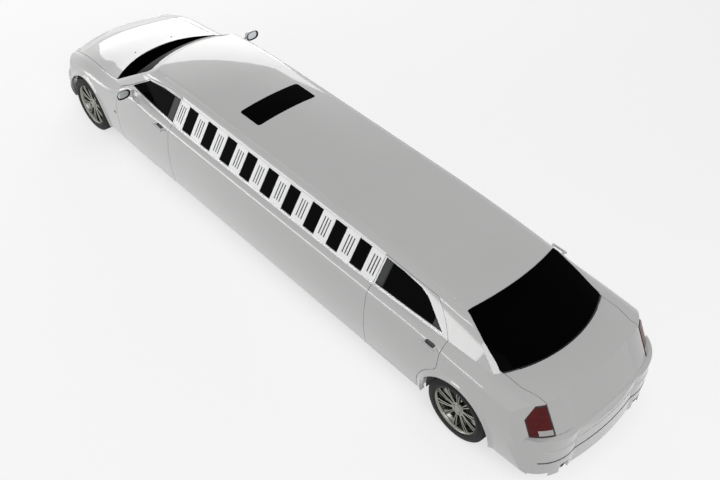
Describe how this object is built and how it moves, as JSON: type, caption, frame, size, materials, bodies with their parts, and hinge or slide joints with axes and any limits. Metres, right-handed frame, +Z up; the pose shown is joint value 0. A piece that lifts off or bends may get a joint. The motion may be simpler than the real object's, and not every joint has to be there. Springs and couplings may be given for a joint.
{
  "type": "stretched limousine",
  "caption": "Long white stretched saloon car with a louvred row of small dark side windows, four opening doors, hood and trunk lid, steering front wheels and rolling wheels.",
  "frame": {"origin": "On the ground under the centre of the overall box", "axes": "+X to the car's left, +Y to the rear, +Z up"},
  "size_m": [2.092, 8.4399, 1.4827],
  "materials": {
    "white_paint": "glossy pearl white clear-coated paint",
    "dark_glass": "near-black tinted safety glass",
    "tyre": "matt black rubber",
    "chrome_wheel": "bright plated alloy",
    "clear_lamp": "clear lamp cover",
    "red_lamp": "red lamp cover",
    "chrome": "bright plated trim",
    "black_leather": "black leather",
    "black_plastic": "grained black plastic",
    "underbody": "underbody coating",
    "cast_steel": "cast and machined metal",
    "exhaust_steel": "stainless steel"
  },
  "bodies": {
    "root": {"body_side_left": "white_paint", "body_side_right": "white_paint", "side_windows_left": "dark_glass", "side_windows_right": "dark_glass", "roof": "white_paint", "sunroof_glass": "dark_glass", "windshield": "dark_glass", "rear_window": "dark_glass", "front_fender_left": "white_paint", "front_fender_right": "white_paint", "cowl": "black_plastic", "front_bumper": "white_paint", "headlamps": "clear_lamp", "grille": "chrome", "quarter_panel_left": "white_paint", "quarter_panel_right": "white_paint", "tail_lamps": "red_lamp", "rear_bumper": "white_paint", "rear_shelf": "black_plastic", "floor_pan": "underbody", "partition": "black_plastic", "front_subframe": "cast_steel", "rear_axle": "cast_steel", "engine": "cast_steel", "exhaust": "exhaust_steel", "wheel_arch_liners": "black_plastic", "front_seats": "black_leather", "lounge_seats": "black_leather", "dashboard": "black_plastic", "steering_wheel": "black_plastic"},
    "front_door_left": {"front_door_left": "white_paint", "front_door_glass_left": "dark_glass", "mirror_left": "white_paint"},
    "front_door_right": {"front_door_right": "white_paint", "front_door_glass_right": "dark_glass", "mirror_right": "white_paint"},
    "rear_door_left": {"rear_door_left": "white_paint", "rear_door_glass_left": "dark_glass"},
    "rear_door_right": {"rear_door_right": "white_paint", "rear_door_glass_right": "dark_glass"},
    "hood": {"hood": "white_paint"},
    "trunk_lid": {"trunk_lid": "white_paint"},
    "knuckle_left": {"knuckle_left": "cast_steel"},
    "knuckle_right": {"knuckle_right": "cast_steel"},
    "wheel_front_left": {"tyre_front_left": "tyre", "wheel_front_left": "chrome_wheel"},
    "wheel_front_right": {"tyre_front_right": "tyre", "wheel_front_right": "chrome_wheel"},
    "wheel_rear_left": {"tyre_rear_left": "tyre", "wheel_rear_left": "chrome_wheel"},
    "wheel_rear_right": {"tyre_rear_right": "tyre", "wheel_rear_right": "chrome_wheel"}
  },
  "joints": [
    {"name": "front_door_left_hinge", "type": "hinge", "parent": "root", "child": "front_door_left", "pos_m": [0.944, -2.56, 0.7], "axis": [0, 0, -1], "range_deg": [0, 65]},
    {"name": "front_door_right_hinge", "type": "hinge", "parent": "root", "child": "front_door_right", "pos_m": [-0.944, -2.56, 0.7], "axis": [0, 0, 1], "range_deg": [0, 65]},
    {"name": "rear_door_left_hinge", "type": "hinge", "parent": "root", "child": "rear_door_left", "pos_m": [0.944, 1.925, 0.7], "axis": [0, 0, -1], "range_deg": [0, 65]},
    {"name": "rear_door_right_hinge", "type": "hinge", "parent": "root", "child": "rear_door_right", "pos_m": [-0.944, 1.925, 0.7], "axis": [0, 0, 1], "range_deg": [0, 65]},
    {"name": "hood_hinge", "type": "hinge", "parent": "root", "child": "hood", "pos_m": [0, -2.64, 1], "axis": [-1, 0, 0], "range_deg": [0, 55]},
    {"name": "trunk_hinge", "type": "hinge", "parent": "root", "child": "trunk_lid", "pos_m": [0, 3.44, 1.085], "axis": [1, 0, 0], "range_deg": [0, 75]},
    {"name": "steer_left", "type": "hinge", "parent": "root", "child": "knuckle_left", "pos_m": [0.74, -3.32, 0.364], "axis": [0, 0, 1], "range_deg": [-35, 35]},
    {"name": "steer_right", "type": "hinge", "parent": "root", "child": "knuckle_right", "pos_m": [-0.74, -3.32, 0.364], "axis": [0, 0, 1], "range_deg": [-35, 35]},
    {"name": "wheel_front_left_spin", "type": "hinge", "parent": "knuckle_left", "child": "wheel_front_left", "pos_m": [0.8, -3.32, 0.364], "axis": [1, 0, 0], "continuous": true},
    {"name": "wheel_front_right_spin", "type": "hinge", "parent": "knuckle_right", "child": "wheel_front_right", "pos_m": [-0.8, -3.32, 0.364], "axis": [1, 0, 0], "continuous": true},
    {"name": "wheel_rear_left_spin", "type": "hinge", "parent": "root", "child": "wheel_rear_left", "pos_m": [0.8, 3.16, 0.364], "axis": [1, 0, 0], "continuous": true},
    {"name": "wheel_rear_right_spin", "type": "hinge", "parent": "root", "child": "wheel_rear_right", "pos_m": [-0.8, 3.16, 0.364], "axis": [1, 0, 0], "continuous": true}
  ],
  "couplings": [
    {"joint": "steer_right", "follows": "steer_left", "ratio": 1}
  ]
}
